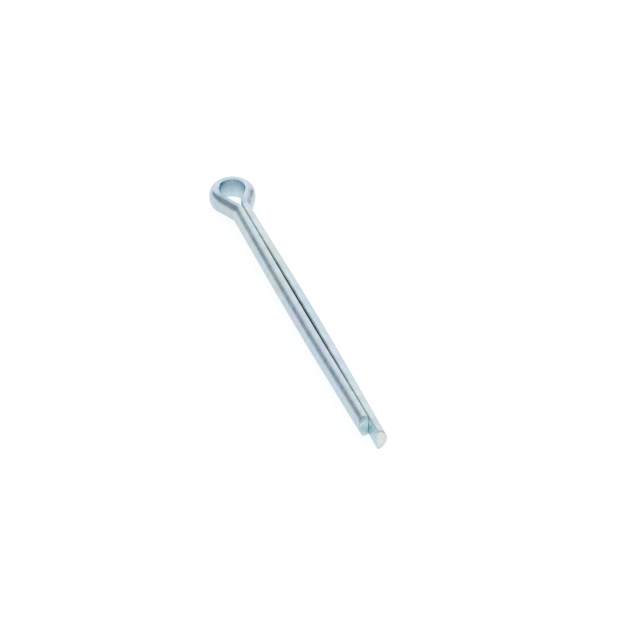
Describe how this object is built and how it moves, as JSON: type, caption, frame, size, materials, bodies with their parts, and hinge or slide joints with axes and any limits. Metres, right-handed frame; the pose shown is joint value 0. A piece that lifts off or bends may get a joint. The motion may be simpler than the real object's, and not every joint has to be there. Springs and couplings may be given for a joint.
{
  "type": "split cotter pin",
  "caption": "Split cotter pin of folded half-round steel wire, with a round eye, tapering neck and a slit shank whose legs end at unequal lengths; bright zinc plated.",
  "frame": {"origin": "on the shank axis at the seat, where the legs leave the neck below the eye", "axes": "+X along the shank from the eye to the leg ends, +Y toward the long leg, +Z square to the plane of the eye"},
  "size_m": [0.0692, 0.0078, 0.0036],
  "materials": {
    "zinc_plated_steel": "bright electroplated zinc with a clear blue passivate over drawn low-carbon steel wire"
  },
  "bodies": {
    "root": {"cotter_pin": "zinc_plated_steel"}
  },
  "joints": []
}
